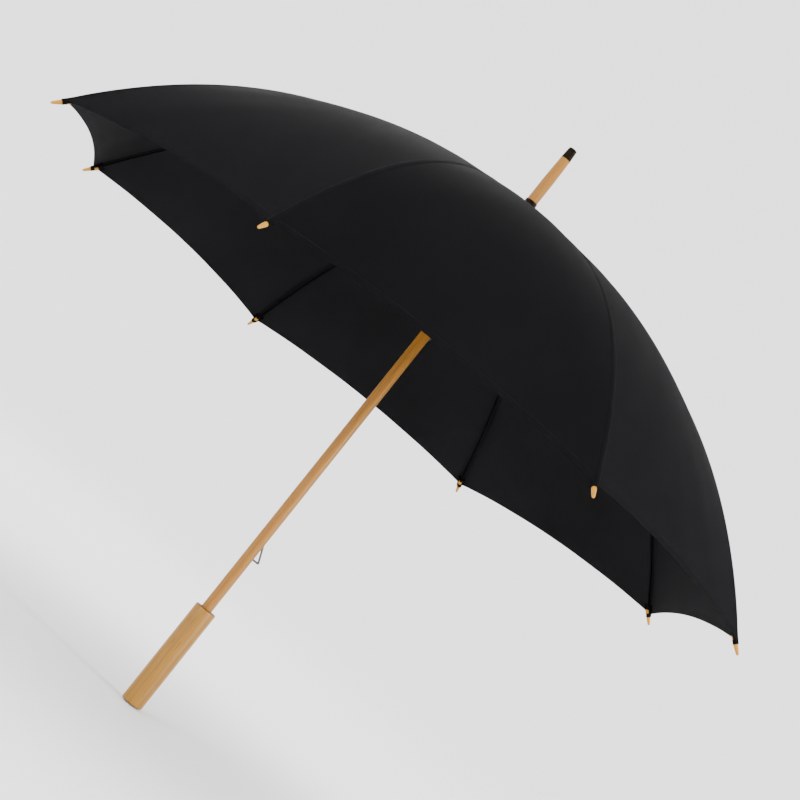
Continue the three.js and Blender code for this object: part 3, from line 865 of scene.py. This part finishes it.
# %% Stretchers
link = math.hypot(rivet_r - pivot_r, rivet_z - runner_z)
tilt = math.atan2(rivet_z - runner_z, rivet_r - pivot_r)
FORK_INNER, FORK_OUTER, FORK_HALF = 1.95 * MM, 2.65 * MM, 2.2 * MM
cheek = [(link - 17 * MM, 1.3 * MM), (link - 14 * MM, FORK_HALF), *arc(link, 0, FORK_HALF, 90, -90, 12),
         (link - 14 * MM, -FORK_HALF), (link - 17 * MM, -1.3 * MM)]
cheek_y = (FORK_INNER + FORK_OUTER) / 2
bar = swept("bar", [(x, 0) for x in np.linspace(10 * MM, link - 15 * MM, 30)],
            channel(2.6 * MM, 2.6 * MM, 0.5 * MM, 0.9 * MM), ENAMEL)
web = swept("web", [(link - 20 * MM, 0), (link - 15.2 * MM, 0)],
            rounded_box(2.5 * MM, 2 * FORK_OUTER - 0.2 * MM, 0.5 * MM), ENAMEL)
rivet_hole = circle(link, 0, 1.1 * MM)
cheeks = [plate("cheek", [cheek, rivet_hole], FORK_OUTER - FORK_INNER, 0.15 * MM, ENAMEL, sign * cheek_y)
          for sign in (1, -1)]
stretcher = joined("stretcher", [bar, web, *cheeks, eye(0, 0, 0)])
stretcher.data.transform(Matrix.Translation((pivot_r, 0, runner_z)) @ Matrix.Rotation(-tilt, 4, "Y"))
last_stretcher = around(stretcher, "fluted_stretcher", "stretcher")
print(f"stretcher: {len(last_stretcher.data.polygons)} faces, {1000 * link:.0f} mm long")

# %% Rivets
def headed(radius, rise, start, step_deg, shank=()):
    """The profile of a pin with a domed head at both ends. Each dome stops just short of its pole."""
    angles = [math.radians(a) for a in range(0, 90, step_deg)]
    head = [(radius * math.cos(a), start + rise * math.sin(a)) for a in angles]
    foot = [(r, -z) for r, z in reversed(head)]
    return [*foot, *shank, *head]


HEAD_R, HEAD_RISE, HEAD_IN, SHANK_R = 1.6 * MM, 0.75 * MM, 2.95 * MM, 0.8 * MM
rivet_profile = headed(HEAD_R, HEAD_RISE, HEAD_IN, 15, [(SHANK_R, -HEAD_IN), (SHANK_R, HEAD_IN)])
rivet_pole = rivet_profile[-1][1] + 0.02 * MM
rivet_profile = [(0, -rivet_pole), *rivet_profile, (0, rivet_pole)]
for number in range(1, RIBS + 1):
    rivet = turned(f"rivet_{number}", rivet_profile, STEEL, 24)
    moved(rivet, spoke(number) @ Matrix.Translation((rivet_r, 0, rivet_z)) @ Matrix.Rotation(math.pi / 2, 4, "X"))
    fix(rivet, f"rib_{number}", "spring_steel", f"rib_rivet_{number}")

# %% [markdown]
# ## Rib tips
# Each rib ends in a small turned wooden tip, which the canopy's corner is sewn to. The tip narrows to its nose and
# has a waist in its middle, where the corner of the cloth is wrapped round it and bound with thread. The corner's
# own fold lies over the tip's outer side like a hood.

# %% Rib tips and their bindings
TIP_START = RIB_END + tip_way * 4 * MM
tip_length = (TIP_END - RIB_END).length - 4 * MM
nose = tip_length / MM
tip_profile = [(r * MM, z * MM) for r, z in (
    (0, 13), (2.3, 13), (2.3, 0), (2.8, 0), (3.2, 0.5), (3.3, 3), (2.9, 6), (2.6, 8.5), (2.7, 11), (3.0, 13),
    (2.8, 16), (2.3, nose - 5), (1.9, nose - 1.6), (1.5, nose - 0.5), (0.9, nose - 0.1), (0, nose))]
wrap_profile = [(r * MM, z * MM) for r, z in (
    (2.7, 5.6), (3.5, 5.9), (3.5, 7.2), (3.0, 8.2), (3.0, 9.6), (3.6, 10.6), (3.7, 11.6), (3.2, 11.9), (2.7, 10),
    (2.7, 5.6))]
lay_tip = Matrix.Translation((TIP_START.x, 0, TIP_START.y)) @ Matrix.Rotation(
    math.pi / 2 + math.atan2(-tip_way.y, tip_way.x), 4, "Y")


def torus(name, r, z, thick, material, sides=40):
    return turned(name, arc(r, z, thick, 0, 360, 8), material, sides)


HOOD_SIDE_DEG, HOOD_END, HOOD_LENGTH, HOOD_CREASE = 112, 11.7, 19.0, 0.1 * MM


def hood(name):
    """The cloth corner's own fold over the outer side of a tip, from the binding to under the seam's end."""
    rows, columns, points = 12, 20, []
    for i in range(rows + 1):
        share = i / rows
        height, half = (4.1 + 2.2 * share ** 1.3) * MM, (4.0 + 2.5 * share) * MM
        for j in range(columns + 1):
            angle = math.radians(-HOOD_SIDE_DEG + 2 * HOOD_SIDE_DEG * j / columns)
            points.append((-height * math.cos(angle) - HOOD_CREASE * math.sin(9 * angle) * share,
                           half * math.sin(angle), (HOOD_END - HOOD_LENGTH * share) * MM))
    fold = mesh_object(name, points, grid_faces(rows, columns), material=CLOTH)
    cut_pattern(fold, [(y, z) for _, y, z in points])
    return smooth(outward(thickened(fold, CLOTH_THICK)), 50)


for number in range(1, RIBS + 1):
    wooden = turned(f"wooden_tip_{number}", tip_profile, TIP_WOOD, 32)
    fix(moved(hood(f"corner_hood_{number}"), spoke(number) @ lay_tip), f"rib_{number}", "canopy_cloth")
    fix(moved(wooden, spoke(number) @ lay_tip), f"rib_{number}", "tip_wood", f"rib_tip_{number}")
    wrap = turned(f"corner_wrap_{number}", wrap_profile, CLOTH, 32)
    for vertex in wrap.data.vertices:
        angle = math.atan2(vertex.co.y, vertex.co.x)
        vertex.co.x *= 1 + 0.03 * math.sin(3 * angle + number)
        vertex.co.y *= 1 + 0.03 * math.cos(2 * angle + number)
        vertex.co.z += 0.35 * MM * math.sin(angle + 2 * number)
    fix(moved(wrap, spoke(number) @ lay_tip), f"rib_{number}", "canopy_cloth")
    turns = [torus("turn", 3.15 * MM, (8.35 + 0.5 * k) * MM, 0.26 * MM, THREAD) for k in range(3)]
    binding = joined(f"thread_binding_{number}", turns)
    fix(moved(binding, spoke(number) @ lay_tip), f"rib_{number}", "canopy_cloth")
print(f"tips: {1000 * tip_length:.1f} mm long")

# %% [markdown]
# ## Hubs
# The notch is fixed on the shaft under the crown, and the runner slides below it. Both are moulded, with a slot for
# each rib or stretcher and a groove that the wire lies in. Their outlines are the CAD's, so they are taken from
# it, cleaned of flat triangles and given the small round edges that a moulding has.

# %% Notch and runner
MOULD_EDGE = 0.25 * MM


def moulded(name, node):
    source = frame["nodes"][node]
    piece = mesh_object(name, [])
    piece.data = source.data.copy()
    piece.data.transform(source.matrix_world)
    piece.data.materials.clear()
    piece.data.materials.append(NYLON)
    shell = bmesh.new()
    shell.from_mesh(piece.data)
    bmesh.ops.remove_doubles(shell, verts=shell.verts, dist=1e-6)
    bmesh.ops.dissolve_limit(shell, angle_limit=math.radians(2), verts=shell.verts, edges=shell.edges)
    shell.to_mesh(piece.data)
    shell.free()
    bevel = piece.modifiers.new("edges", "BEVEL")
    bevel.width, bevel.segments = MOULD_EDGE, 2
    bevel.limit_method, bevel.angle_limit = "ANGLE", math.radians(32)
    return smooth(baked(piece), 40)


notch = moulded("moulded_notch", "notch")
fix(notch, "frame", "black_nylon", "notch")
runner = moulded("moulded_runner", "runner")
fix(runner, "runner", "black_nylon", "runner")


def wire_ring(name, z, body, node):
    """The wire's two ends meet in a small twist, which is bent down beside the hub."""
    ring = torus("ring", pivot_r, z, 0.6 * MM, STEEL, 96)
    bent = rounded_line([(pivot_r, z), (pivot_r + 3.4 * MM, z), (pivot_r + 3.4 * MM, z - 5 * MM)], 1.2 * MM)
    ends = [swept("end", bent, circle(0, 0, 0.55 * MM, 12), STEEL) for _ in range(2)]
    for sign, end in zip((1, -1), ends):
        moved(end, Matrix.Translation((0, sign * 0.62 * MM, 0)))
    fix(joined(name, [ring, *ends]), body, "spring_steel", node)


wire_ring("notch_ring", notch_z, "frame", "notch_wire")
wire_ring("runner_ring", runner_z, "runner", "runner_wire")
print(f"hubs: notch {len(notch.data.polygons)} faces, runner {len(runner.data.polygons)} faces")

# %% [markdown]
# ## Catches and stop pin
# Each catch is one bent strip of spring steel, pivoted inside the shaft's slot. It slopes out to a step that the
# runner's edge rests on, and its end turns back into the slot. Its edges and its bends are rounded.

# %% Catches and stop pin
STRIP_THICK, STRIP_WIDTH, STRIP_EDGE, STRIP_BEND = 2.9 * MM, 2.0 * MM, 0.7 * MM, 1.9 * MM


def catch(name, body, upside_down):
    low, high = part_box(body)
    pivot_x, tail_x, reach = 2.4 * MM, 5 * MM, high.x - 0.75 * MM
    tip, pivot = (high.z - 0.8 * MM, low.z + 0.8 * MM) if upside_down else (low.z + 0.8 * MM, high.z - 0.8 * MM)
    line = rounded_line([(pivot_x, pivot), (reach, tip), (tail_x, tip)], STRIP_BEND, 10)
    strip = swept(name, line, rounded_box(STRIP_THICK, STRIP_WIDTH, STRIP_EDGE), STEEL)
    fix(strip, body, "spring_steel", body)


catch("lower_spring_catch", "bottom_catch", False)
catch("upper_spring_catch", "top_catch", True)

PIN_R, PIN_RISE = 0.9 * MM, 0.45 * MM
pin_half = pin_high.x - 0.1 * MM
pin_profile = [(0, -pin_half), *headed(PIN_R, PIN_RISE, pin_half - PIN_RISE, 18), (0, pin_half)]
stop_pin = turned("peened_stop_pin", pin_profile, STEEL, 24)
fix(moved(stop_pin, lay_pin), "frame", "spring_steel", "stop_pin")

# %% [markdown]
# ## Rosette and tie strap
# Under the crown a small round of cloth keeps the panels from chafing on the notch. The tie strap is sewn to the
# outside of one panel, near its hem, and goes round the rolled canopy. Its end has a sewn box and a snap.

# %% Rosette
ROSETTE_Z, ROSETTE_HOLE, ROSETTE_R = 874.2 * MM, 8.8 * MM, 13.6 * MM
FRILL_STEPS, RING_SHARES = 120, (0, 0.35, 0.7, 1.0)
points = []
for share in RING_SHARES:
    for k in range(FRILL_STEPS):
        angle = 2 * math.pi * k / FRILL_STEPS
        edge_r, wave = ROSETTE_R + 0.5 * MM * math.sin(24 * angle), 0.25 * MM * math.sin(16 * angle)
        r = ROSETTE_HOLE + (edge_r - ROSETTE_HOLE) * share
        points.append((r * math.cos(angle), r * math.sin(angle), ROSETTE_Z + wave * share * share))
faces = [(a, d, c, b) for a, b, c, d in grid_faces(len(RING_SHARES) - 1, FRILL_STEPS, closed=True)]
rosette = mesh_object("crown_rosette", points, faces, material=CLOTH)
cut_pattern(rosette, [(x, y) for x, y, _ in points])
smooth(thickened(rosette, 0.3 * MM), 50)
fix(rosette, "frame", "canopy_cloth")

# %% Tie strap
STRAP_WIDTH, STRAP_LENGTH, STRAP_THICK, STRAP_PANEL = 20 * MM, 138 * MM, 0.6 * MM, 2
STRAP_FROM, STRAP_TO, SNAP_SHARE = 0.77, 0.945, 0.88


def strap_point(share, side_share, lift):
    """share runs from the sewn end to the free end, and side_share across the strap."""
    down = STRAP_TO + (STRAP_FROM - STRAP_TO) * share
    half_width = CORNER_R * down * math.sin(HALF)
    round_end = max(0.0, (share - 0.9) / 0.1)
    width = STRAP_WIDTH * (0.5 * (1 - round_end ** 2) ** 0.5 if round_end < 1 else 0.02)
    middle = 1 - (1.2 * MM + STRAP_WIDTH / 2 + 8 * MM) / half_width
    return cloth_point(middle + width * side_share / half_width, down, 1, lift)


strap_rows, strap_columns = 48, 10
points = [strap_point(i / strap_rows, 2 * j / strap_columns - 1,
                      0.75 * MM + 0.5 * MM * math.sin(math.pi * i / strap_rows))
          for i in range(strap_rows + 1) for j in range(strap_columns + 1)]
strap = mesh_object("cloth_tie_strap", points, grid_faces(strap_rows, strap_columns), material=CLOTH)
cut_pattern(strap, [(STRAP_WIDTH * j / strap_columns, STRAP_LENGTH * i / strap_rows)
                    for i in range(strap_rows + 1) for j in range(strap_columns + 1)])
moved(strap, spoke(STRAP_PANEL))
smooth(thickened(strap, STRAP_THICK), 50)
box_lines = [[strap_point(i, j, 1.15 * MM) for i, j in path] for path in (
    [(0.04, -0.7), (0.04, 0.7), (0.17, 0.7), (0.17, -0.7), (0.04, -0.7)],
    [(0.04, -0.7), (0.17, 0.7)], [(0.04, 0.7), (0.17, -0.7)],
    [(k / 20, 0.8) for k in range(4, 18)], [(k / 20, -0.8) for k in range(4, 18)])]
box_lines = [[spoke(STRAP_PANEL) @ point for point in line] for line in box_lines]
strap_stitches = stitched("stitches_tie_strap", box_lines, seed=3)
snap_at = strap_point(SNAP_SHARE, 0, 1.1 * MM)
snap_up = (strap_point(SNAP_SHARE, 0, 2.1 * MM) - snap_at).normalized()
snap_profile = [(r * MM, z * MM) for r, z in (
    (0, -0.4), (5, -0.4), (5.3, 0), (5, 0.5), (4.2, 0.75), (3.6, 0.6), (2, 0.8), (0, 0.9))]
snap = turned("strap_snap", snap_profile, STEEL, 40)
moved(snap, spoke(STRAP_PANEL) @ Matrix.Translation(snap_at) @ snap_up.to_track_quat("Z", "Y").to_matrix().to_4x4())
for piece in (strap, strap_stitches, snap):
    blended(piece)
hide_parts("tie_strap")

# %% [markdown]
# ## Stage
# The floor is a plain pale sweep under the handle, which climbs to a wall far behind so that no horizon shows in
# the rolled view. A bright, even world does most of the lighting. Two low soft lights, left and right of the view,
# round the sticks and lift the near panels, and a dim one behind picks out the canopy's far side.

# %% Floor and lights
def floor_finish():
    floor = Finish("pale floor", Roughness=0.7, Specular_IOR_Level=0.1)
    speckle = floor.noise((3, 3, 3), detail=3)
    floor.drive("Base Color", floor.mix(speckle, (0.93, 0.93, 0.93, 1), (0.96, 0.96, 0.96, 1)))
    return floor.material


sweep_points, segments = [], 96
FLOOR_Z = -2 * MM
rings = [(0.01, FLOOR_Z), (3, FLOOR_Z), *arc(9, 7 + FLOOR_Z, 7, -90, 0, 16), (16, 14)]
for r, z in rings:
    sweep_points += [(r * math.cos(2 * math.pi * k / segments), r * math.sin(2 * math.pi * k / segments), z)
                     for k in range(segments)]
sweep_faces = [*grid_faces(len(rings) - 1, segments, closed=True), tuple(range(segments))]
floor = smooth(mesh_object("floor", sweep_points, sweep_faces, material=floor_finish()), 80)
floor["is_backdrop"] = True


AIM = Vector((0, 0, 0.6))


def area_light(name, place, size, power):
    data = bpy.data.lights.new(name, "AREA")
    data.shape, data.size, data.energy = "DISK", size, power
    light = placed(name, data)
    light.location = place
    light.rotation_euler = (AIM - Vector(place)).to_track_quat("-Z", "Y").to_euler()
    light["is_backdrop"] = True


area_light("key", (-2.4, -2.6, 1.0), 1.6, 90)
area_light("fill", (3.0, -1.7, 0.75), 1.2, 150)
area_light("rim", (-1.0, 2.8, 2.6), 2.0, 30)

world = bpy.data.worlds.new("studio")
bpy.context.scene.world = world
world.use_nodes = True
background = world.node_tree.nodes["Background"].inputs
background["Color"].default_value, background["Strength"].default_value = (1, 1, 1, 1), 2.8

# %% [markdown]
# The bounds of everything shown but the floor are measured.

# %% Sizes and finish
low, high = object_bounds()
